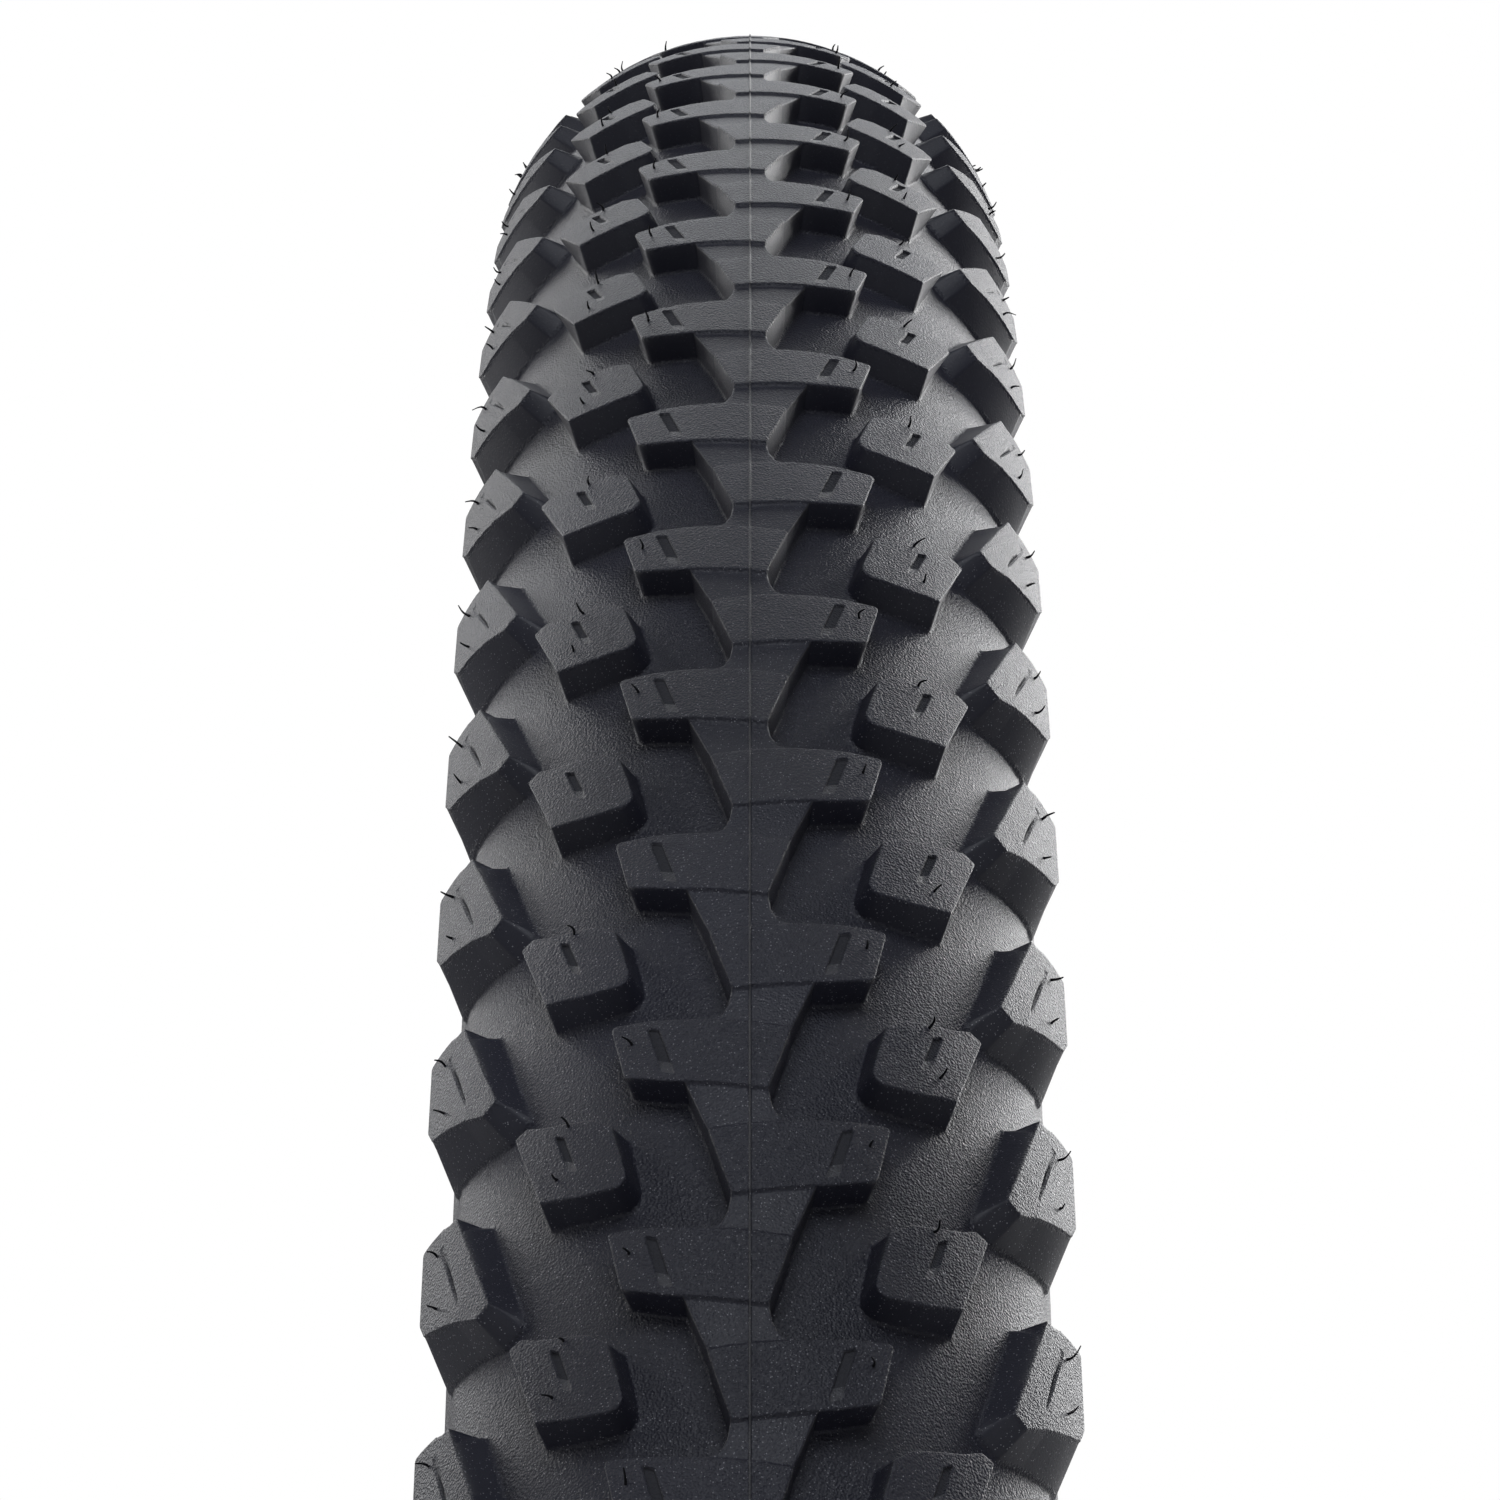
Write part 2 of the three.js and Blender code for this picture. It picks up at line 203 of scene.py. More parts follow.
# ---- Colours and grain of the rubber, with lengths in metres ----
RUBBER_DARK, RUBBER_LIGHT = (0.0135, 0.0139, 0.0245), (0.0215, 0.0222, 0.0375)
HAIR_DARK, HAIR_LIGHT = (0.006, 0.006, 0.008), (0.009, 0.009, 0.012)
TREAD_SPECK, WALL_SPECK, HAIR_SPECK = (0.21, 0.21, 0.235), (0.12, 0.12, 0.13), (0.012, 0.012, 0.014)
# The flash colour is a painted highlight: a lighter line along the crown's flash ridge, in place of the
# light that the ridge's slopes catch. Its share and its inner and outer widths in metres follow.
# The sipe colour, lighter than the rubber, is a painted sheen on the matt sipe floors, in place of the
# sheen that their roughness takes away.
# The wear colour lightens the blocks' top edges, partly as wear and partly as a painted highlight, and
# the sipes' ledges as a painted highlight. Its share and sharpness follow.
FLASH_HIGHLIGHT_COLOR, WEAR_AND_HIGHLIGHT_COLOR, SIPE_SHEEN_COLOR = (0.08, 0.08, 0.085), (0.06, 0.06, 0.068), (0.038, 0.0385, 0.046)
FLASH_HIGHLIGHT_SHARE, WEAR_AND_HIGHLIGHT_SHARE, WEAR_AND_HIGHLIGHT_POWER = 0.8, 0.8, 8.0
FLASH_HIGHLIGHT_INSIDE, FLASH_HIGHLIGHT_OUTSIDE = 0.00006, 0.00014
BLOOM_SCALE, FINE_SCALE, LEATHER_SCALE, SPECK_SCALE = 24, 7000, 4500, 4000
FINE_DEPTH, LEATHER_DEPTH = 0.00006, 0.00016
# The share of the dust cells that stay clean, and the biggest speck's size in its cell.
SPECK_CLEAN, SPECK_SIZE = 0.25, 0.28
# The dust thins out between these heights, down to this share.
SPECK_LOW, SPECK_HIGH, SPECK_THIN = 0.235, 0.29, 0.12
# Section radii between which a block's wall is smooth, how softly that starts and ends, and
# the wall's share of the grain.
WALL_LOW, WALL_HIGH, WALL_SOFT, WALL_GRAIN = 0.0289, 0.0313, 0.0001, 0.12

# ---- Studio, in metres and watts ----
CAMERA_PLACE = (0.85255, 0, 0.1590)
CAMERA_PITCH = 8.047
CAMERA_LENS = 150.54
WORLD_FILL = 0.08
FLOOR_HALF = 6.0
FLOOR_DROP = 0.0006
# The floor pales into the white backdrop between these distances from the tire.
GLOW_START, GLOW_END = 0.6, 6.0
FLOOR_DARK, FLOOR_LIGHT = (0.48, 0.48, 0.485), (0.52, 0.52, 0.52)
AIM, WHITE = (0.25, 0, 0.2), (1, 1, 1)
# Each light is (name, place, target, width, height, power, colour).
LIGHTS = [
    ("right_back", (-0.95, 1.0, 0.87), AIM, 0.7, 1.1, 22, WHITE),
    ("left_back", (-0.95, -1.0, 0.87), AIM, 0.7, 1.1, 9.5, WHITE),
    ("right_side", (-0.09, 1.55, 0.8), AIM, 0.7, 1.1, 1, WHITE),
    ("left_side", (-0.09, -1.55, 0.8), AIM, 0.7, 1.1, 5.5, WHITE),
    ("right_low", (-1.06, 1.08, 0.29), AIM, 0.7, 1.1, 5.5, WHITE),
    ("back_ceiling", (-1.16, 0, 1.61), AIM, 1.4, 1.0, 11.5, (0.96, 0.98, 1)),
    ("front_ceiling", (1.6, 0, 2.4), AIM, 2.0, 1.4, 26, (0.9, 0.94, 1)),
    ("front_low", (2.2, 0, -0.1), (0.3, 0, 0.2), 1.6, 0.5, 3, (0.92, 0.95, 1)),
]


# ======== The drawing of the tread ========

def flat(corners):
    """A drawing's corners in millimetres of the flat drawing."""
    return np.array(corners)[:, :2] * [ARC_MM, ROW_MM]


def placed(loop, side, row):
    """A drawn loop on one side of the crown and in one row."""
    return loop * [side, 1] + [0, row * ROW_MM]


def outline(corners, grow=0.0, step=LINE_STEP):
    """A closed loop through a drawing's rounded corners, pushed outward by grow mm."""
    return rounded_loop(flat(corners), [rounding for _, _, rounding in corners], grow, step)


def arc_pieces(rounding, turn):
    """How many straight pieces a rounded corner is made of."""
    if rounding <= SHARP:
        return 1
    return 2 if rounding < SMALL_ROUNDING or abs(turn) < SMALL_TURN else 4


def rounded_loop(points, roundings, grow, step):
    """A counterclockwise loop with rounded corners. Loops of the same corners have the same
    number of points at every grow."""
    ahead = np.roll(points, -1, axis=0) - points
    length = np.linalg.norm(ahead, axis=1)
    along = ahead / length[:, None]
    out = np.stack([along[:, 1], -along[:, 0]], axis=1)
    before = np.roll(out, 1, axis=0)
    mitre = (out + before) / (1 + np.sum(out * before, axis=1))[:, None]
    grown = points + grow * mitre
    count = len(points)
    arcs = []
    for i, rounding in enumerate(roundings):
        u_in, u_out = along[i - 1], along[i]
        turn = math.atan2(u_in[0] * u_out[1] - u_in[1] * u_out[0], float(u_in @ u_out))
        radius = max(rounding + (grow if turn > 0 else -grow), LEAST_RADIUS)
        reach = radius * math.tan(abs(turn) / 2)
        room = CORNER_ROOM * min(length[i - 1], length[i])
        if reach > room:
            radius, reach = radius * room / reach, room
        start = grown[i] - u_in * reach
        normal = np.array([-u_in[1], u_in[0]]) * math.copysign(1, turn)
        center = start + normal * radius
        angles = math.atan2(-normal[1], -normal[0]) + np.linspace(0, turn, arc_pieces(rounding, turn) + 1)
        arcs.append(center + radius * np.stack([np.cos(angles), np.sin(angles)], axis=1))
    loop = []
    for i in range(count):
        loop.extend(arcs[i])
        a, b = arcs[i][-1], arcs[(i + 1) % count][0]
        cuts = max(1, round((length[i] - 0.5) / step))
        loop.extend(a + (b - a) * k / cuts for k in range(1, cuts))
    return np.array(loop)


def distance(points, loop):
    """Signed distance from points to a closed loop, negative inside."""
    a, b = loop, np.roll(loop, -1, axis=0)
    edge = b - a
    rel = points[:, None, :] - a[None, :, :]
    squares = np.maximum(np.sum(edge * edge, axis=1), TINY)
    share = np.clip(np.sum(rel * edge, axis=2) / squares, 0, 1)
    gap = np.linalg.norm(rel - share[..., None] * edge, axis=2).min(axis=1)
    above = (a[None, :, 1] <= points[:, None, 1]) != (b[None, :, 1] <= points[:, None, 1])
    rise = np.where(np.abs(edge[:, 1]) < TINY, TINY, edge[:, 1])
    cross = a[None, :, 0] + (points[:, None, 1] - a[None, :, 1]) / rise * edge[None, :, 0]
    inside = (np.sum(above & (points[:, None, 0] < cross), axis=1) % 2) == 1
    return np.where(inside, -gap, gap)


def in_box(points, loop, margin):
    """Which points lie in a loop's bounding box, widened by a margin."""
    low, high = loop.min(axis=0) - margin, loop.max(axis=0) + margin
    return np.all((points > low) & (points < high), axis=1)


def ridge(off, half):
    """A ridge 1 high with a flat top, at points this far off its middle."""
    return np.clip(RIDGE_SLOPE * (1 - off / half), 0, 1)


def floor_height(points):
    """Section radius of the skin between the blocks: the tread's floor, then the sidewall."""
    phi = np.abs(points[:, 0]) / ARC_MM
    fall = np.clip((phi - FALL_START) / (FALL_END - FALL_START), 0, 1)
    fall = fall * fall * (3 - 2 * fall)
    height = TREAD_FLOOR + (SIDEWALL_OUTER - TREAD_FLOOR) * fall
    for rib_phi, half, tall in SIDE_RIBS:
        height = height + tall * ridge(np.abs(phi - rib_phi) * ARC_MM, half)
    return height


class Raised:
    """A block that stands on the floor: a top and a root outline, placed on a side and row."""

    def __init__(self, top, root, draft, level, side, row):
        self.level = level
        tops = [placed(outline(top, -EDGE_ROUND * share), side, row) for share in (1, ROUND_SPLIT, 0)]
        roots = [placed(outline(root, draft + ROOT_ROUND * share), side, row)
                 for share in (0, ROUND_SPLIT, 1)]
        self.top, self.root, self.loops = tops[-1], roots[0], tops + roots

    def height(self, points, floor):
        """Section radius of the block's surface at points, or the floor's where it is bare."""
        result = floor.copy()
        near = in_box(points, self.root, ROOT_ROUND + MARGIN)
        p, base = points[near], floor[near]
        top, root = distance(p, self.top), distance(p, self.root)
        past = np.clip(top + EDGE_ROUND, 0, None)
        curve = EDGE_ROUND - np.sqrt(np.clip(EDGE_ROUND ** 2 - past ** 2, 0, None))
        share = np.clip(-root / np.maximum(top - root, TINY), 0, 1)
        low = base + ROOT_ROUND
        wall = low + (self.level - EDGE_ROUND - low) * share
        lean = np.clip(ROOT_ROUND - root, 0, None)
        fillet = base + ROOT_ROUND - np.sqrt(np.clip(ROOT_ROUND ** 2 - lean ** 2, 0, None))
        height = np.where(top <= 0, self.level - curve, np.where(root <= 0, wall, fillet))
        result[near] = np.maximum(base, np.where(root < ROOT_ROUND, height, base))
        return result

    def edge(self, points, height):
        """The numbers of the points on the block's open top edge, past its leading side. They get
        wear and a painted highlight.
        """
        start, end = self.top[:, 1].min(), self.top[:, 1].max()
        past = points[:, 1] > start + WEAR_AND_HIGHLIGHT_FROM * (end - start)
        chosen = np.flatnonzero(past & in_box(points, self.root, MARGIN))
        on_line = np.abs(distance(points[chosen], self.top)) < WEAR_AND_HIGHLIGHT_REACH
        at_level = np.abs(height[chosen] - self.level) < WEAR_AND_HIGHLIGHT_DEPTH
        return chosen[on_line & at_level]


class Cut:
    """A cut in a block's top: a sipe with a floor outline, or a slit that has none."""

    def __init__(self, rim, floor, depths, side, row):
        self.shares, self.depths = zip(*depths)
        self.rim = placed(outline(rim, step=SIPE_STEP), side, row)
        self.start, end, end_inner, start_inner = placed(flat(rim), side, row)
        self.length = np.linalg.norm(end - self.start)
        self.along = (end - self.start) / self.length
        self.inward = np.array([-self.along[1], self.along[0]]) * side
        leading = start_inner - self.start
        self.skew = (leading @ self.along) / (leading @ self.inward)
        brim = placed(outline(rim, SIPE_BRIM, SIPE_STEP), side, row)
        self.closed_lines = [self.rim, brim]
        if floor is None:
            self.floor = None
            foot = [self.start + self.along * self.length * share + self.inward * SLIT_WALL
                    for share in SLIT_FOOT]
            self.open_lines = [np.array(foot)]
        else:
            self.floor = placed(outline(floor, step=SIPE_STEP), side, row)
            bottom = placed(outline(floor, -SIPE_BRIM, SIPE_STEP), side, row)
            self.closed_lines += [self.floor, bottom]
            self.open_lines = [
                np.array([self.start + (end - self.start) * share,
                          start_inner + (end_inner - start_inner) * share])
                for share in self.shares[1:-1]]

    def lower(self, points, height, wear_and_highlight):
        """The heights at points, less the cut's depth there. A sipe's rim by its ledge is marked
        for a painted highlight.
        """
        near = np.flatnonzero(in_box(points, self.rim, MARGIN))
        p = points[near]
        gap = distance(p, self.rim)
        inside = np.clip(-gap, 0, None)
        rel = p - self.start
        across = rel @ self.inward
        if self.floor is None:
            run = rel @ self.along / self.length
            slope = np.clip((SLIT_WIDTH - across) / (SLIT_WIDTH - SLIT_WALL), 0, 1)
            share = np.clip(inside / SLIT_WALL, 0, 1) * slope
        else:
            run = (rel @ self.along - across * self.skew) / self.length
            share = np.clip(inside / np.maximum(inside + distance(p, self.floor), TINY), 0, 1)
            # The rim by a sipe's ledge is marked for a painted highlight.
            wear_and_highlight[near[(gap < TOUCH) & (run < self.shares[1] + TOUCH / 2)]] = 1
        height = height.copy()
        height[near] -= np.interp(run, self.shares, self.depths) * share
        return height


def row_features(row):
    """The blocks and cuts of one row. An even row has its center block on the right and its
    other blocks on the left."""
    side = 1 if row % 2 == 0 else -1
    raised = [
        Raised(CENTER_TOP, CENTER_TOP, CENTER_DRAFT, BLOCK_TOP, side, row),
        Raised(RAMP, RAMP, CENTER_DRAFT, RAMP_TOP, side, row),
        Raised(INTERMEDIATE_TOP, INTERMEDIATE_ROOT, 0, BLOCK_TOP, -side, row),
        Raised(SHOULDER_TOP, SHOULDER_ROOT, 0, BLOCK_TOP, -side, row)]
    cuts = [
        Cut(CENTER_SIPE, CENTER_SIPE_FLOOR, CENTER_SIPE_DEPTHS, side, row),
        Cut(INTERMEDIATE_SIPE, INTERMEDIATE_SIPE_FLOOR, INTERMEDIATE_SIPE_DEPTHS, -side, row),
        Cut(SHOULDER_SLIT, None, SLIT_DEPTHS, -side, row)]
    return raised, cuts


def skin_height(points, raised, cuts):
    """Section radius of the skin at flat points, how matt it is (1 in the sipes, which also
    marks their floors' painted sheen) and its mark for wear and painted highlight (1 on the
    blocks' top edges and by the sipes' ledges)."""
    floor = floor_height(points)
    height = floor.copy()
    for block in raised:
        height = np.maximum(height, block.height(points, floor))
    uncut = height
    # The blocks' top edges are marked for wear and a painted highlight.
    wear_and_highlight = np.zeros(len(points))
    for block in raised:
        wear_and_highlight[block.edge(points, height)] = 1
    for cut in cuts:
        height = cut.lower(points, height, wear_and_highlight)
    matt = np.clip((uncut - height - MATT_DEPTH) / MATT_SOFT, 0, 1)
    height = height + FLASH_HEIGHT * ridge(np.abs(points[:, 0]), FLASH_HALF)
    return height, matt, wear_and_highlight


# ======== One pitch of the skin as a mesh ========

def ring_lines():
    """The x of every line that runs right round the wheel."""
    lines = [0.0]
    for off in (FLASH_TOP * FLASH_HALF, FLASH_HALF, FLASH_HALF + FLASH_FOOT):
        lines += [-off, off]
    for phi in (CENTER_EDGE, SHOULDER_EDGE, WALL_EDGE):
        lines += [-phi * ARC_MM, phi * ARC_MM]
    for phi, half, _ in SIDE_RIBS:
        for off in (-half, -RIB_TOP * half, RIB_TOP * half, half):
            lines += [phi * ARC_MM + off, -phi * ARC_MM - off]
    return sorted(lines)


def loose_points(raised, cuts, rng):
    """Jittered points that carry the skin's curvature, clear of every drawn line."""
    reach = WALL_EDGE * ARC_MM
    points = []
    for x in np.arange(-reach, reach, LOOSE_STEP):
        for step in range(LOOSE_ROWS):
            y = step * PITCH_MM / LOOSE_ROWS
            points.append((x + rng.uniform(-LOOSE_JITTER, LOOSE_JITTER),
                           y + rng.uniform(-LOOSE_JITTER, LOOSE_JITTER)))
    points = np.array(points)
    keep = np.abs(points[:, 0]) < reach - EDGE_GAP
    for line in ring_lines():
        keep &= np.abs(points[:, 0] - line) > LINE_GAP
    for block in raised:
        near = in_box(points, block.root, ROOT_ROUND + 2 * BLOCK_GAP)
        top, root = distance(points[near], block.top), distance(points[near], block.root)
        clear = (top < -EDGE_ROUND - BLOCK_GAP) | (root > ROOT_ROUND + BLOCK_GAP)
        keep[np.flatnonzero(near)[~clear]] = False
    for cut in cuts:
        keep &= np.abs(distance(points, cut.rim)) > CUT_GAP
    return points[keep]


def buried(loop, owner, raised):
    """Which points of a block's loop lie well inside a higher neighbour's top."""
    hidden = np.zeros(len(loop), bool)
    for other in raised:
        if other.level > owner.level and in_box(loop, other.root, 0).any():
            hidden |= distance(loop, other.top) < -EDGE_ROUND - MARGIN
    return hidden


class Drawing:
    """The points and edges from which the pitch is triangulated."""

    def __init__(self):
        self.points, self.edges = [], []

    def add(self, line, closed, hidden=None):
        """Adds a line's points and edges, without the edges whose ends are both hidden."""
        last = len(line)
        places = {}
        for i in range(last if closed else last - 1):
            j = (i + 1) % last
            if hidden is not None and hidden[i] and hidden[j]:
                continue
            for end in (i, j):
                if end not in places:
                    places[end] = len(self.points)
                    self.points.append(tuple(line[end]))
            self.edges.append((places[i], places[j]))

    def triangulated(self, low_y, high_y):
        """Points and faces of the part between two values of y."""
        near = [low_y < y < high_y for _, y in self.points]
        number = np.cumsum(near) - 1
        coords = [Vector(p) for p, ok in zip(self.points, near) if ok]
        edges = [(int(number[a]), int(number[b])) for a, b in self.edges if near[a] and near[b]]
        out, _, faces, *_ = geometry.delaunay_2d_cdt(coords, edges, [], 0, MERGE)
        return np.array([tuple(v) for v in out]), faces


def pitch_drawing(raised, cuts):
    """Every line and loose point near the middle pitch. Small wobbles and shifts keep lines
    and points from falling on one another."""
    rng = random.Random(7)
    drawing = Drawing()
    wobble = np.array([[rng.uniform(-1, 1), rng.uniform(-1, 1)] for _ in range(WOBBLES)]) * WOBBLE

    def wobbled(line, owner):
        side = 1 if owner[:, 0].mean() > 0 else -1
        return line + wobble[:len(line)] * [side, 1]

    for block in raised:
        for loop in block.loops:
            drawing.add(wobbled(loop, block.top), True, buried(loop, block, raised))
    for cut in cuts:
        for line in cut.closed_lines:
            drawing.add(wobbled(line, cut.rim), True)
        for line in cut.open_lines:
            drawing.add(wobbled(line, cut.rim), False)
    for x in ring_lines():
        shift = RING_START + 0.01 * math.sin(x * 7)
        samples = np.arange(-6, 11) * PITCH_MM / 4 + shift
        drawing.add(np.stack([np.full(len(samples), x), samples], axis=1), False)
    loose = loose_points(raised, cuts, rng)
    for copy in (-1, 0, 1, 2):
        drawing.points.extend(map(tuple, loose + [0, copy * PITCH_MM]))
    return drawing


def pitch_mesh():
    """Flat points, heights, finish (mattness, and the mark for wear and painted highlight) and
    triangles of one pitch. Each triangle's corner is a pair: point, and 1 if it is on the next
    pitch's copy of the point."""
    raised, cuts = [], []
    for row in DRAWN_ROWS:
        blocks, sipes = row_features(row)
        raised += blocks
        cuts += sipes
    drawing = pitch_drawing(raised, cuts)
    flat_points, faces = drawing.triangulated(-1.3 * PITCH_MM, 2.3 * PITCH_MM)

    tile = np.floor((flat_points[:, 1] - PITCH_START) / PITCH_MM).astype(int)
    middle = np.flatnonzero(tile == 0)
    tree = kdtree.KDTree(len(middle))
    for i, which in enumerate(middle):
        tree.insert((*flat_points[which], 0), i)
    tree.balance()
    triangles = []
    for face in faces:
        if min(tile[v] for v in face) == 0:
            moved = [flat_points[v] - [0, tile[v] * PITCH_MM] for v in face]
            found = [tree.find((x, y, 0))[1] for x, y in moved]
            triangles.append([(which, int(tile[v])) for which, v in zip(found, face)])
    used = flat_points[middle]
    height, matt, wear_and_highlight = skin_height(used, raised, cuts)
    return used, height, np.stack([matt, wear_and_highlight], axis=1), np.array(triangles)


def wheel_points(flat_points, height):
    """Points of the wheel in metres from flat points and section radii."""
    phi = flat_points[:, 0] / ARC_MM * math.pi / 180
    turn = flat_points[:, 1] / ROW_MM * ROW_ANGLE * math.pi / 180
    radius = SECTION_CENTER + height * np.cos(phi)
    places = [radius * np.cos(turn), height * np.sin(phi), radius * np.sin(turn)]
    return np.stack(places, axis=1) * MM


def whole_skin():
    """The skin all the way round: points, triangles, area-weighted normals, flat x and
    finish (mattness, and the mark for wear and painted highlight)."""
    flat_points, height, finish, triangles = pitch_mesh()
    count = len(flat_points)
    points = np.concatenate([
        wheel_points(flat_points + [0, pitch * PITCH_MM], height) for pitch in range(PITCHES)])
    shifts = np.arange(PITCHES)[:, None, None]
    faces = triangles[None, :, :, 0] + ((triangles[None, :, :, 1] + shifts) % PITCHES) * count
    faces = faces.reshape(-1, 3)
    corner = points[faces]
    cross = np.cross(corner[:, 1] - corner[:, 0], corner[:, 2] - corner[:, 0])
    normals = np.zeros_like(points)
    for k in range(3):
        np.add.at(normals, faces[:, k], cross)
    normals /= np.linalg.norm(normals, axis=1)[:, None]
    x = np.tile(flat_points[:, 0], PITCHES)
    return points, faces, normals, x, np.tile(finish, (PITCHES, 1))


# ======== Mesh objects ========

def linked(name, data):
    """A new object in the scene."""
    obj = bpy.data.objects.new(name, data)
    bpy.context.scene.collection.objects.link(obj)
    return obj


def mesh_object(name, points, faces, material, loop_normals=None, uv=None):
    """A mesh of triangles or of quads that rides the tire's one body."""
    mesh = bpy.data.meshes.new(name)
    sides = faces.shape[1]
    mesh.vertices.add(len(points))
    mesh.vertices.foreach_set("co", points.astype(np.float32).ravel())
    mesh.loops.add(faces.size)
    mesh.loops.foreach_set("vertex_index", faces.astype(np.int32).ravel())
    mesh.polygons.add(len(faces))
    mesh.polygons.foreach_set("loop_start", np.arange(0, faces.size, sides, dtype=np.int32))
    mesh.update(calc_edges=True)
    mesh.polygons.foreach_set("use_smooth", np.ones(len(faces), bool))
    if uv is not None:
        layer = mesh.uv_layers.new(name="cloth")
        layer.data.foreach_set("uv", uv.astype(np.float32).ravel())
    if loop_normals is not None:
        mesh.normals_split_custom_set(loop_normals.reshape(-1, 3).tolist())
    mesh.materials.append(material)
    obj = linked(name, mesh)
    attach(obj, "root")
    return obj


def zipped(first, first_turns, second, second_turns):
    """Triangles between two closed rings of points that may differ in number."""
    triangles = []
    i = j = 0
    while i < len(first) or j < len(second):
        a, b = first[i % len(first)], second[j % len(second)]
        next_i, next_j = (i + 1) % len(first), (j + 1) % len(second)
        turn_i = first_turns[next_i] + (i + 1) // len(first) * math.tau
        turn_j = second_turns[next_j] + (j + 1) // len(second) * math.tau
        if j >= len(second) or (i < len(first) and turn_i <= turn_j):
            triangles.append((a, b, first[next_i]))
            i += 1
        else:
            triangles.append((a, b, second[next_j]))
            j += 1
    return triangles


def spokes(turns, phi):
    """Unit vectors outward from the section's centre, at a section angle."""
    across = math.radians(phi)
    flat_part = math.cos(across)
    return np.stack([flat_part * np.cos(turns), np.full(len(turns), math.sin(across)),
                     flat_part * np.sin(turns)], axis=1)


def skin_piece(name, node, skin, low, high, inner_radius, material):
    """The skin between two section angles, closed by its edges and an inner face."""
    points, faces, normals, x, finish = skin
    middle = x[faces].mean(axis=1) / ARC_MM
    chosen = faces[(middle > low) & (middle < high)]
    used, packed = np.unique(chosen, return_inverse=True)
    outer = packed.reshape(-1, 3)
    outer_points, outer_x = points[used], x[used]
    turns = np.arctan2(outer_points[:, 2], outer_points[:, 0]) % math.tau

    def border(phi):
        on_line = np.flatnonzero(np.abs(outer_x - phi * ARC_MM) < 1e-3)
        return on_line[np.argsort(turns[on_line])]

    extra, extra_normals = [], []
    count = len(used)

    def inner_ring(ring_turns, phi):
        nonlocal count
        ways = spokes(ring_turns, phi)
        extra.append((SECTION_CENTER * spokes(ring_turns, 0) + inner_radius * ways) * MM)
        extra_normals.append(-ways)
        first, count = count, count + len(ring_turns)
        return np.arange(first, count)

    high_border, low_border = border(high), border(low)
    even = np.arange(RING_STEPS) / RING_STEPS * math.tau
    high_turns, low_turns = turns[high_border], turns[low_border]
    rings = [(high_border, high_turns), (inner_ring(high_turns, high), high_turns)]
    steps = max(2, round((high - low) / INNER_STEP))
    for step in range(1, steps):
        phi = high + (low - high) * step / steps
        rings.append((inner_ring(even, phi), even))
    rings += [(inner_ring(low_turns, low), low_turns), (low_border, low_turns)]
    bands = [np.array(zipped(*a, *b)) for a, b in zip(rings, rings[1:])]

    all_points = np.concatenate([outer_points, *extra])
    inward = np.concatenate([np.zeros((len(used), 3)), *extra_normals])
    all_turns = np.arctan2(all_points[:, 2], all_points[:, 0])
    band_normals = [inward[band] for band in bands]
    band_normals[0] = spokes(all_turns[bands[0]].ravel(), high + 90).reshape(-1, 3, 3)
    band_normals[-1] = spokes(all_turns[bands[-1]].ravel(), low - 90).reshape(-1, 3, 3)
    obj = mesh_object(name, all_points, np.concatenate([outer, *bands]), material,
                      np.concatenate([normals[used][outer], *band_normals]))
    for column, attribute_name in enumerate(("matt", "wear_and_highlight")):
        attribute = obj.data.attributes.new(attribute_name, "FLOAT", "POINT")
        values = np.concatenate([finish[used, column], np.zeros(count - len(used))])
        attribute.data.foreach_set("value", values)
    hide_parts(node)
    return obj


# ======== Turned rings ========

def section_arc(radius, start, end):
    """Points of a section arc as (offset from the middle plane, wheel radius)."""
    count = max(2, round(abs(end - start) / ARC_STEP))
    angles = np.radians(np.linspace(start, end, count + 1))
    return np.stack([radius * np.sin(angles), SECTION_CENTER + radius * np.cos(angles)], axis=1)


def turned(name, node, profiles, material):
    """One or more closed rings turned about the wheel's axis. A profile runs counterclockwise,
    with x along the axis and y outward from it. The cloth map is in metres, round the wheel
    and round the profile."""
    angles = np.arange(RING_STEPS + 1) / RING_STEPS * math.tau
    all_points, all_faces, all_uv, first = [], [], [], 0
    for profile in profiles:
        offsets, radii = profile[:, 0], profile[:, 1]
        count = len(profile)
        turns = angles[:-1, None]
        places = [radii * np.cos(turns), offsets + 0 * turns, radii * np.sin(turns)]
        all_points.append(np.stack(places, axis=2).reshape(-1, 3) * MM)
        ring = np.arange(RING_STEPS)[:, None]
        here = np.arange(count)[None, :]
        corners = [(ring, here), (ring + 1, here), (ring + 1, here + 1), (ring, here + 1)]
        quads = [i % RING_STEPS * count + j % count for i, j in corners]
        all_faces.append(first + np.stack(quads, axis=2).reshape(-1, 4))
        lengths = np.linalg.norm(np.roll(profile, -1, axis=0) - profile, axis=1)
        u, v = angles * radii.mean() * MM, np.concatenate([[0], np.cumsum(lengths)]) * MM
        cloth = [np.stack([u[i] + 0 * j, v[j] + 0 * i], axis=2) for i, j in corners]
        all_uv.append(np.stack(cloth, axis=2).reshape(-1, 2))
        first += RING_STEPS * count
    obj = mesh_object(name, np.concatenate(all_points), np.concatenate(all_faces), material,
                      uv=np.concatenate(all_uv))
    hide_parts(node)
    return obj


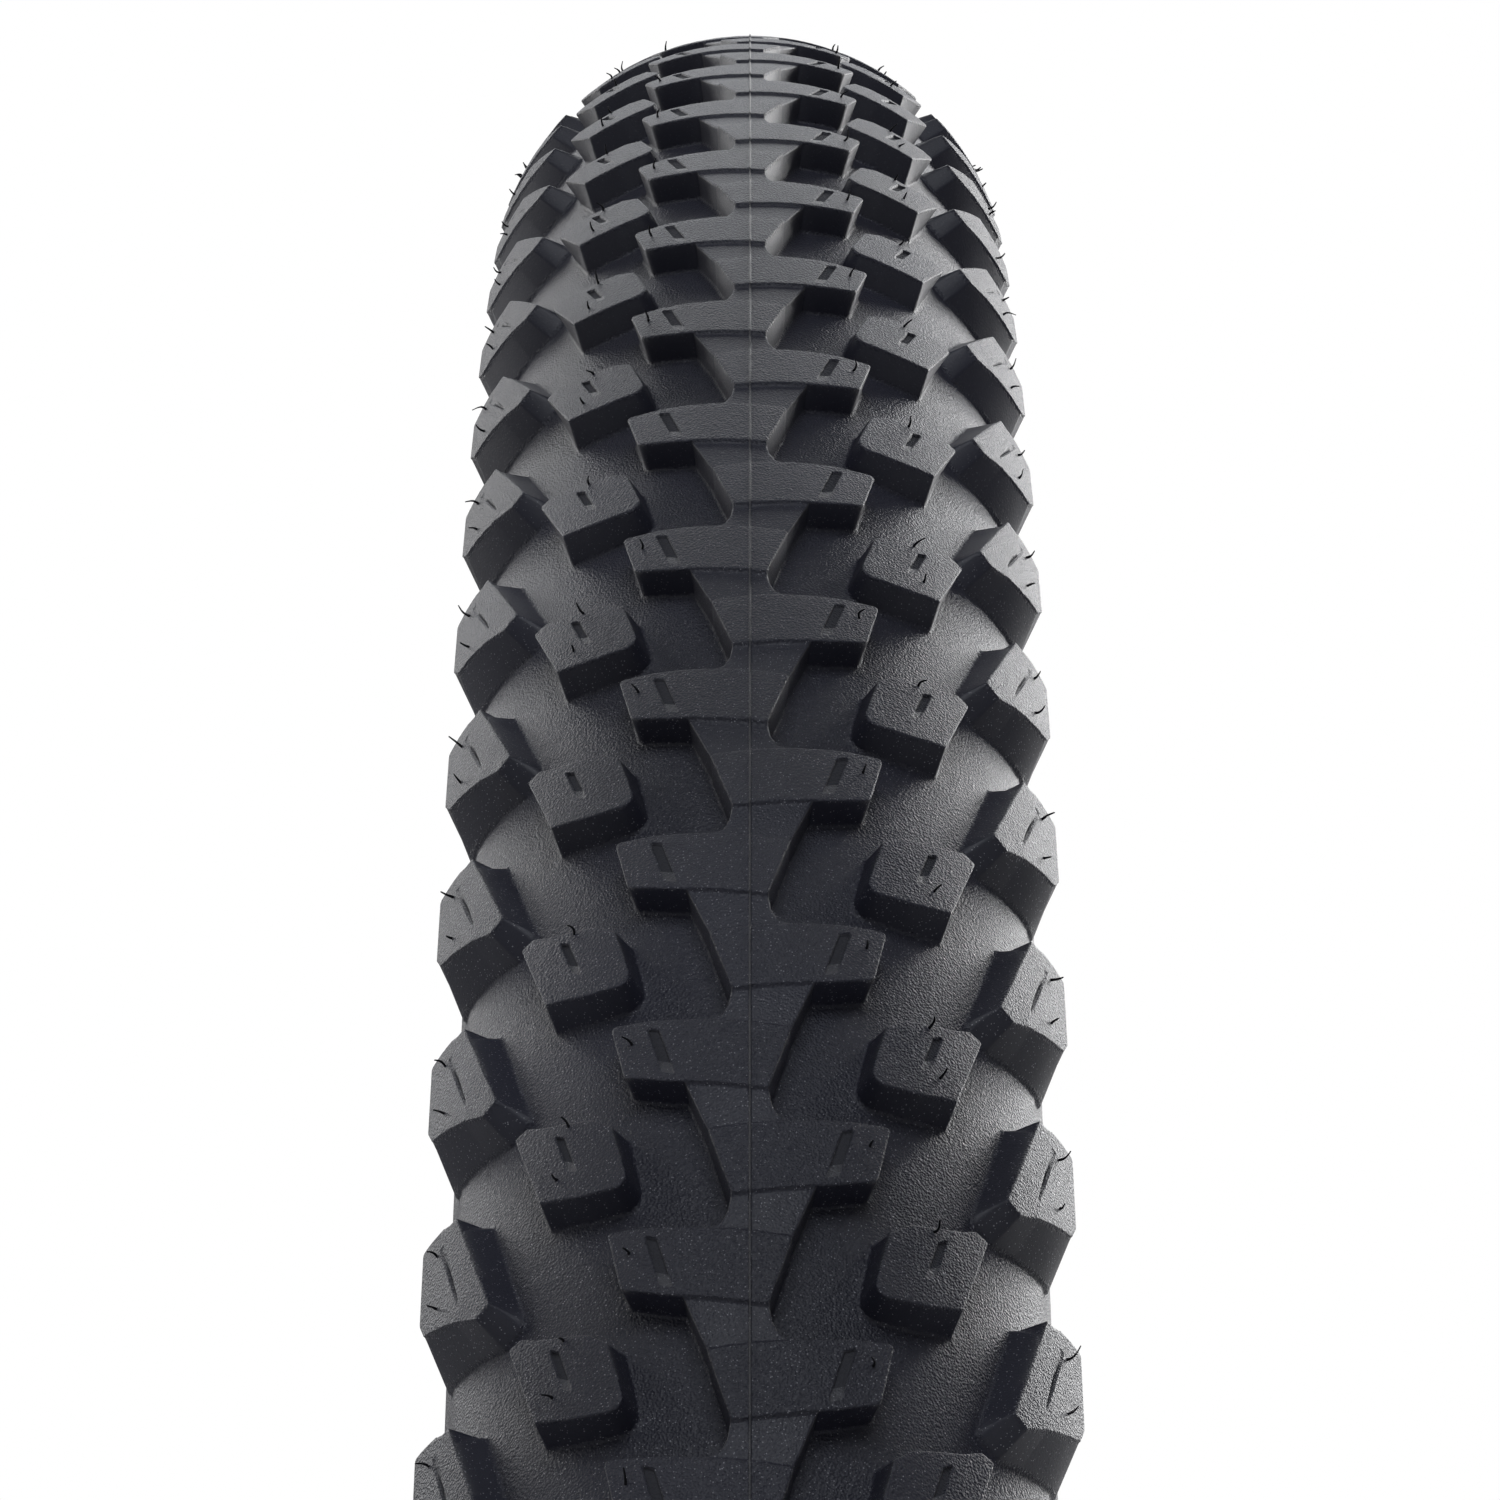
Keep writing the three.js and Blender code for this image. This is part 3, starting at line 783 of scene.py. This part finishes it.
def layer(outer, inner, edge):
    """A cloth layer's cross-section: two arcs over the crown, joined by eased edges."""
    arcs = [section_arc(outer, edge, -edge), section_arc(inner, -edge, edge)]
    middles = [(arcs[i][-1] + arcs[1 - i][0]) / 2 for i in (0, 1)]
    for arc in arcs:
        for end, inside in ((0, 1), (-1, -2)):
            way = (arc[inside] - arc[end]) / np.linalg.norm(arc[inside] - arc[end])
            arc[end] += way * CLOTH_EDGE_EASE
    return np.concatenate([arcs[0], middles[:1], arcs[1], middles[1:]])


def mirrored(profile, side):
    """A right-hand cross-section, or its mirror image for the left."""
    return profile if side > 0 else (profile * [-1, 1])[::-1]


def bead_square(half):
    """Corners of a square round the bead core, counterclockwise from the lower inner one."""
    x, y = CORE_OFFSET, CORE_WHEEL_RADIUS
    return [(x - half, y - half), (x + half, y - half), (x + half, y + half), (x - half, y + half)]


def chafer_profile():
    """The chafer: down the flange face, under the core and up the inside, then back."""
    wall, flap = BEAD_FACE - CHAFER_THICKNESS, BEAD_TOE + CHAFER_THICKNESS
    floor = CHAFER_TOE_RADIUS + CHAFER_FLOOR_RISE
    start = math.radians(WALL_EDGE + CHAFER_START)
    top_out, top_in = [(radius * math.sin(start), SECTION_CENTER + radius * math.cos(start))
                       for radius in (SIDEWALL_OUTER, CHAFER_INNER)]
    corners = [
        (BEAD_TOE, CHAFER_TOE_RADIUS), (BEAD_HEEL, CHAFER_TOE_RADIUS), (BEAD_FACE, FACE_LOW),
        (BEAD_FACE, FACE_HIGH), top_out, top_in, (wall, FACE_HIGH), (wall, floor), (flap, floor),
        (flap, FLAP_TOP), (BEAD_TOE, FLAP_TOP)]
    return rounded_loop(np.array(corners), CHAFER_ROUNDINGS, 0, PROFILE_STEP)


def inner_ply_profile():
    """The inner ply over the crown, with both ends hooked round the bead cores."""
    near, far = CORE_HALF + CORE_GAP, CORE_HALF + CORE_GAP + PLY_THICKNESS
    inside, outside = bead_square(near), bead_square(far)
    flap = CORE_WHEEL_RADIUS + CORE_HALF
    hook = [outside[3], outside[0], outside[1], (outside[1][0], flap), (inside[1][0], flap), inside[1],
            inside[0], inside[3]]
    right = rounded_loop(np.array(hook), HOOK_ROUNDINGS, 0, PROFILE_STEP)
    inner_arc = section_arc(INNER_PLY_INNER, -PLY_EDGE, PLY_EDGE)
    outer_arc = section_arc(INNER_PLY_OUTER, PLY_EDGE, -PLY_EDGE)
    return np.concatenate([inner_arc, right, outer_arc, mirrored(right, -1)])


def core_wires(side):
    """The bead core: four wires wound side by side."""
    turn = np.arange(WIRE_SIDES) / WIRE_SIDES * math.tau
    circle = WIRE_FILL * WIRE_RADIUS * np.stack([np.cos(turn), np.sin(turn)], axis=1)
    center = np.array([side * CORE_OFFSET, CORE_WHEEL_RADIUS])
    return [center + circle + np.array([dx, dy]) * WIRE_RADIUS for dx in (-1, 1) for dy in (-1, 1)]


# ======== Vent hairs ========

def hair_faces():
    """Triangles of one hair: the rings of its tube, then its tip and its base."""
    faces = []
    top = HAIR_STEPS * HAIR_SIDES
    tip = top + HAIR_SIDES
    for j in range(HAIR_SIDES):
        n = (j + 1) % HAIR_SIDES
        for ring in range(0, top, HAIR_SIDES):
            a, b, c, d = ring + j, ring + n, ring + n + HAIR_SIDES, ring + j + HAIR_SIDES
            faces += [(a, c, b), (a, d, c)]
        faces += [(top + j, tip, top + n), (n, tip + 1, j)]
    return np.array(faces)


def hair_points(phi, t, row, length, lean, curl):
    """Points of one hair in the same order: it leans and curls round the wheel and across."""
    turn = math.radians((row + t) * ROW_ANGLE)
    place = np.array([[phi * ARC_MM, (row + t) * ROW_MM]])
    root = wheel_points(place, np.array([BLOCK_TOP - HAIR_SINK]))[0]
    out = spokes(np.array([turn]), phi)[0]
    round_way = np.array([-math.sin(turn), 0, math.cos(turn)])
    over_way = np.cross(round_way, out)
    share = np.linspace(0, 1, HAIR_STEPS + 1)[:, None]
    bend = share * np.cos(HAIR_BEND * share)
    path = root + length * (share * out + (lean[0] * share + curl[0] * bend) * round_way
                            + (lean[1] * share + curl[1] * bend) * over_way)
    around = (np.arange(HAIR_SIDES) / HAIR_SIDES * math.tau)[:, None]
    circle = np.cos(around) * round_way + np.sin(around) * over_way
    radius = HAIR_RADIUS * MM * (1 - HAIR_TAPER * share)
    rings = path[:, None] + radius[:, None] * circle
    tip = path[-1] + HAIR_RADIUS * MM * HAIR_TAPER * out
    return np.concatenate([rings.reshape(-1, 3), [tip, path[0]]])


def vent_hairs(material):
    """The thin rubber hairs left where the mould breathes, some of them broken off."""
    rng = random.Random(23)
    hairs = []
    for row in range(2 * PITCHES):
        side = 1 if row % 2 == 0 else -1
        for phi, t, flank, share, mean_length in HAIRS:
            if rng.random() > share:
                continue
            length = mean_length * rng.uniform(*HAIR_LENGTHS) * MM
            lean = rng.uniform(*HAIR_LEAN_ROUND), rng.uniform(*HAIR_LEAN_ACROSS)
            curl = rng.uniform(*HAIR_CURL), rng.uniform(*HAIR_CURL)
            hairs.append(hair_points(flank * side * phi, t, row, length, lean, curl))
    firsts = np.arange(len(hairs))[:, None, None] * len(hairs[0])
    faces = (hair_faces() + firsts).reshape(-1, 3)
    obj = mesh_object("vent_hairs", np.concatenate(hairs), faces, material)
    return obj


# ======== Materials ========

class Nodes:
    """A material's node tree, with short calls for the nodes that the finishes share."""

    def __init__(self, name, constants):
        self.material = bpy.data.materials.new(name)
        self.material.use_nodes = True
        self.tree = self.material.node_tree
        self.shader = self.fill(self.tree.nodes["Principled BSDF"], constants)
        self.place = self.add("ShaderNodeTexCoord", {}).outputs["Object"]

    def fill(self, node, inputs):
        """Gives a node's sockets their numbers, colours or links."""
        for name, value in inputs.items():
            socket = node.inputs[name]
            if isinstance(value, bpy.types.NodeSocket):
                self.tree.links.new(value, socket)
            elif socket.type == "RGBA":
                socket.default_value = (*value, 1)
            else:
                socket.default_value = value
        return node

    def add(self, kind, inputs, **settings):
        node = self.tree.nodes.new(kind)
        for key, value in settings.items():
            setattr(node, key, value)
        return self.fill(node, inputs)

    def noise(self, scale, detail=3.0, roughness=0.55, vector=None):
        inputs = {"Scale": scale, "Detail": detail, "Roughness": roughness}
        inputs["Vector"] = vector or self.place
        return self.add("ShaderNodeTexNoise", inputs).outputs["Fac"]

    def cells(self, scale, feature="F1"):
        inputs = {"Scale": scale, "Vector": self.place}
        return self.add("ShaderNodeTexVoronoi", inputs, feature=feature)

    def scaled(self, value, low, high, to_low=0.0, to_high=1.0):
        """A value carried from one range to another, and kept inside it."""
        inputs = {"Value": value, "From Min": low, "From Max": high, "To Min": to_low, "To Max": to_high}
        return self.add("ShaderNodeMapRange", inputs).outputs["Result"]

    def spread(self, noise, to_low=0.0, to_high=1.0):
        """A noise's usual range carried to another range."""
        return self.scaled(noise, *NOISE_RANGE, to_low, to_high)

    def math(self, operation, *values):
        return self.add("ShaderNodeMath", dict(enumerate(values)), operation=operation).outputs[0]

    def mix(self, share, first, second):
        """Mixes two colours, which are the node's sockets 6 and 7."""
        inputs = {"Factor": share, 6: first, 7: second}
        return self.add("ShaderNodeMix", inputs, data_type="RGBA").outputs[2]

    def bump(self, height, distance, strength, **under):
        """A bump, on top of another one where that is given as its Normal."""
        inputs = {"Height": height, "Distance": distance, "Strength": strength, **under}
        return self.add("ShaderNodeBump", inputs).outputs["Normal"]

    def section_radius(self):
        """Distance from the middle of the tire's section, in metres, with the two places
        across and up."""
        x, y, z = self.add("ShaderNodeSeparateXYZ", {"Vector": self.place}).outputs
        rise = self.math("SUBTRACT", self.length(x, z), SECTION_CENTER * MM)
        return self.length(rise, y), y, z

    def length(self, a, b):
        """The length of a line from its two parts at right angles."""
        squares = self.math("ADD", self.math("MULTIPLY", a, a), self.math("MULTIPLY", b, b))
        return self.math("SQRT", squares)

    def band(self, value, low, high, soft):
        """1 between two values, 0 outside them."""
        rise = self.scaled(value, low - soft, low + soft)
        fall = self.scaled(value, high - soft, high + soft, 1.0, 0.0)
        return self.math("MULTIPLY", rise, fall)

    def finish(self, color, roughness, normal):
        self.fill(self.shader, {"Base Color": color, "Roughness": roughness, "Normal": normal})
        return self.material


def rubber(name, dark, light, speck, gloss, grain, shine=0.5):
    """Moulded black rubber: a leathery grain on the faces that the mould's own surface made,
    smoother block walls, matt sipe floors lightened as a painted sheen, wear and a painted
    highlight on the blocks' edges, a painted highlight by the sipes' ledges and along the
    crown's flash ridge, and dust specks."""
    n = Nodes(name, {"Roughness": 0.5, "Specular IOR Level": shine})
    bloom = n.noise(BLOOM_SCALE, 4)
    fine = n.noise(FINE_SCALE, 3, 0.6)
    leather = n.cells(LEATHER_SCALE, "SMOOTH_F1").outputs["Distance"]
    section, across, up = n.section_radius()
    off_middle = n.math("ABSOLUTE", across)
    base = n.mix(n.scaled(bloom, 0.32, 0.7), dark, light)
    # A painted highlight: a lighter line along the crown's flash ridge.
    flash_highlight = n.scaled(off_middle, FLASH_HIGHLIGHT_INSIDE, FLASH_HIGHLIGHT_OUTSIDE, FLASH_HIGHLIGHT_SHARE, 0.0)
    base = n.mix(flash_highlight, base, FLASH_HIGHLIGHT_COLOR)
    spots = n.cells(SPECK_SCALE)
    pick = n.add("ShaderNodeSeparateColor", {"Color": spots.outputs["Color"]})
    size = n.scaled(pick.outputs["Red"], SPECK_CLEAN, 1.0, 0.0, SPECK_SIZE)
    settled = n.scaled(up, SPECK_LOW, SPECK_HIGH, 1.0, SPECK_THIN)
    spot_share = n.math("MULTIPLY", n.math("LESS_THAN", spots.outputs["Distance"], size), settled)
    matt = n.add("ShaderNodeAttribute", {}, attribute_name="matt").outputs["Fac"]
    # This mark lightens the blocks' top edges, partly as wear and partly as a painted highlight, and the
    # sipes' ledges as a painted highlight.
    wear_and_highlight = n.add("ShaderNodeAttribute", {}, attribute_name="wear_and_highlight").outputs["Fac"]
    wear_and_highlight = n.math("MULTIPLY", n.math("POWER", wear_and_highlight, WEAR_AND_HIGHLIGHT_POWER), WEAR_AND_HIGHLIGHT_SHARE)
    base = n.mix(wear_and_highlight, base, WEAR_AND_HIGHLIGHT_COLOR)
    # The sipe floors take a lighter colour, a painted sheen in place of the sheen that their roughness
    # takes away.
    color = n.mix(matt, n.mix(spot_share, base, speck), SIPE_SHEEN_COLOR)
    roughness = n.math("MAXIMUM", n.spread(fine, *gloss), matt)
    walls = n.band(section, WALL_LOW, WALL_HIGH, WALL_SOFT)
    strength = n.scaled(walls, 0.0, 1.0, grain, WALL_GRAIN * grain)
    rough_grain = n.bump(leather, LEATHER_DEPTH, strength)
    return n.finish(color, roughness, n.bump(fine, FINE_DEPTH, strength, Normal=rough_grain))


def cord_cloth(name, cord, gap, spacing, angle, two_way):
    """Rubbered cord: parallel threads at an angle, in one way or in two."""
    n = Nodes(name, {"Roughness": 0.7})
    uv = n.add("ShaderNodeUVMap", {}, uv_map="cloth").outputs["UV"]
    waves = []
    for sign in ((-1, 1) if two_way else (1,)):
        inputs = {"Vector": uv, "Rotation": (0, 0, sign * math.radians(angle))}
        turned_map = n.add("ShaderNodeMapping", inputs).outputs["Vector"]
        inputs = {"Vector": turned_map, "Scale": WAVE_PERIOD / spacing, "Distortion": 0.25,
                  "Detail Scale": 3.0}
        waves.append(n.add("ShaderNodeTexWave", inputs, wave_profile="SIN").outputs["Fac"])
    threads = waves[0] if not two_way else n.math("MAXIMUM", *waves)
    stained = n.mix(n.spread(n.noise(40, 4)), cord, tuple(STAIN * c for c in cord))
    color = n.mix(threads, gap, stained)
    roughness = n.spread(n.noise(900), 0.55, 0.8)
    fuzz = n.bump(n.noise(3000), FUZZ_DEPTH, 0.5)
    return n.finish(color, roughness, n.bump(threads, THREAD_DEPTH, 0.9, Normal=fuzz))


def wire_metal():
    """Bronze-plated bead wire with drawn streaks."""
    n = Nodes("bronze_wire", {"Roughness": 0.35, "Metallic": 1.0})
    uv = n.add("ShaderNodeUVMap", {}, uv_map="cloth").outputs["UV"]
    stretch = n.add("ShaderNodeMapping", {"Vector": uv, "Scale": WIRE_STRETCH})
    streaks = n.noise(1200, vector=stretch.outputs["Vector"])
    color = n.mix(n.spread(streaks), WIRE_DARK, WIRE_LIGHT)
    return n.finish(color, n.spread(streaks, 0.28, 0.5), n.bump(streaks, WIRE_DEPTH, 0.5))


def floor_paint():
    """Pale matt paint, which pales to white for the camera far from the tire."""
    n = Nodes("studio_floor", {"Roughness": 0.6, "Emission Color": WHITE})
    mottle = n.noise(3)
    away = n.add("ShaderNodeVectorMath", {0: n.place}, operation="LENGTH").outputs["Value"]
    glow = n.scaled(away, GLOW_START, GLOW_END)
    seen = n.add("ShaderNodeLightPath", {}).outputs["Is Camera Ray"]
    n.fill(n.shader, {"Emission Strength": n.math("MULTIPLY", glow, seen)})
    color = n.mix(mottle, FLOOR_DARK, FLOOR_LIGHT)
    return n.finish(color, n.spread(mottle, 0.55, 0.65), n.bump(n.noise(300, 2), 0.0002, 0.1))


# ======== Studio ========

def aimed(way):
    """The rotation that points a camera or a light along a way."""
    return Vector(way).to_track_quat("-Z", "Y").to_euler()


def soft_light(name, place, target, width, height, power, color):
    """A rectangular area light that faces its target."""
    light = bpy.data.lights.new(name, "AREA")
    light.shape = "RECTANGLE"
    light.size, light.size_y = width, height
    light.energy = power
    light.color = color
    obj = linked(name, light)
    obj.location = place
    obj.rotation_euler = aimed(Vector(target) - Vector(place))


def camera(scene):
    """The camera at the photograph's angle."""
    obj = linked("camera", bpy.data.cameras.new("camera"))
    obj.data.sensor_width = 36
    obj.data.lens = CAMERA_LENS
    obj.data.clip_end = 50
    obj.location = CAMERA_PLACE
    pitch = math.radians(CAMERA_PITCH)
    obj.rotation_euler = aimed((-math.cos(pitch), 0, math.sin(pitch)))
    scene.camera = obj


def backdrop(scene):
    """A world that is white to the camera and gives a weak even fill to everything else."""
    world = bpy.data.worlds.new("studio")
    scene.world = world
    world.use_nodes = True
    nodes, links = world.node_tree.nodes, world.node_tree.links
    background = nodes["Background"]
    background.inputs["Color"].default_value = (1, 1, 1, 1)
    seen = nodes.new("ShaderNodeLightPath").outputs["Is Camera Ray"]
    strength = nodes.new("ShaderNodeMapRange")
    strength.inputs["To Min"].default_value = WORLD_FILL
    strength.inputs["To Max"].default_value = 1.0
    links.new(seen, strength.inputs["Value"])
    links.new(strength.outputs["Result"], background.inputs["Strength"])


def studio_floor():
    """The floor that the tire stands on."""
    corners = [(x * FLOOR_HALF, y * FLOOR_HALF, 0) for x, y in ((-1, -1), (1, -1), (1, 1), (-1, 1))]
    mesh = bpy.data.meshes.new("studio_floor")
    mesh.from_pydata(corners, [], [(0, 1, 2, 3)])
    floor = linked("studio_floor", mesh)
    floor.location = (0, 0, cad_box[0].z - FLOOR_DROP)
    floor.data.materials.append(floor_paint())


def studio():
    """Camera, lights, backdrop and floor."""
    scene = bpy.context.scene
    scene.view_settings.view_transform = "Standard"
    camera(scene)
    for light in LIGHTS:
        soft_light(*light)
    backdrop(scene)
    studio_floor()


def main():
    """Makes the tire's pieces and the studio round them."""
    skin = whole_skin()
    tread = rubber("tread_rubber", RUBBER_DARK, RUBBER_LIGHT, TREAD_SPECK, gloss=(0.42, 0.6), grain=0.8)
    wall = rubber("sidewall_rubber", RUBBER_DARK, RUBBER_LIGHT, WALL_SPECK, gloss=(0.38, 0.56), grain=0.7)
    ply = cord_cloth("ply_cloth", *PLY_CLOTH)
    belt = cord_cloth("belt_cloth", *BELT_CLOTH)
    chafer = cord_cloth("chafer_cloth", *CHAFER_CLOTH)
    bronze = wire_metal()
    for side_name, side in (("right", 1), ("left", -1)):
        strips = [
            ("tread_center_rubber", "tread_center", 0, CENTER_EDGE, CENTER_INNER, tread, "tread"),
            ("tread_shoulder_rubber", f"tread_shoulder_{side_name}", CENTER_EDGE, SHOULDER_EDGE,
             SHOULDER_INNER, tread, "tread"),
            ("sidewall_rubber", f"sidewall_{side_name}", SHOULDER_EDGE, WALL_EDGE,
             SIDEWALL_INNER, wall, "sidewall"),
        ]
        for name, node, near_edge, far_edge, inner, finish, slot_name in strips:
            low, high = sorted((side * near_edge, side * far_edge))
            obj = skin_piece(f"{name}_{side_name}", node, skin, low, high, inner, finish)
        chafers = [mirrored(chafer_profile(), side)]
        turned(f"chafer_cloth_{side_name}", f"chafer_{side_name}", chafers, chafer)
        wires = core_wires(side)
        turned(f"bead_wires_{side_name}", f"bead_core_{side_name}", wires, bronze)
    outer = layer(OUTER_PLY_OUTER, OUTER_PLY_INNER, PLY_EDGE)
    turned("outer_ply_cloth", "carcass_ply_outer", [outer], ply)
    turned("inner_ply_cloth", "carcass_ply_inner", [inner_ply_profile()], ply)
    strip = layer(BELT_OUTER, BELT_INNER, BELT_EDGE)
    turned("puncture_belt_cloth", "puncture_belt", [strip], belt)
    vent_hairs(rubber("hair_rubber", HAIR_DARK, HAIR_LIGHT, HAIR_SPECK, gloss=(0.7, 0.9), grain=0.1,
                      shine=0.15))
    studio()


main()
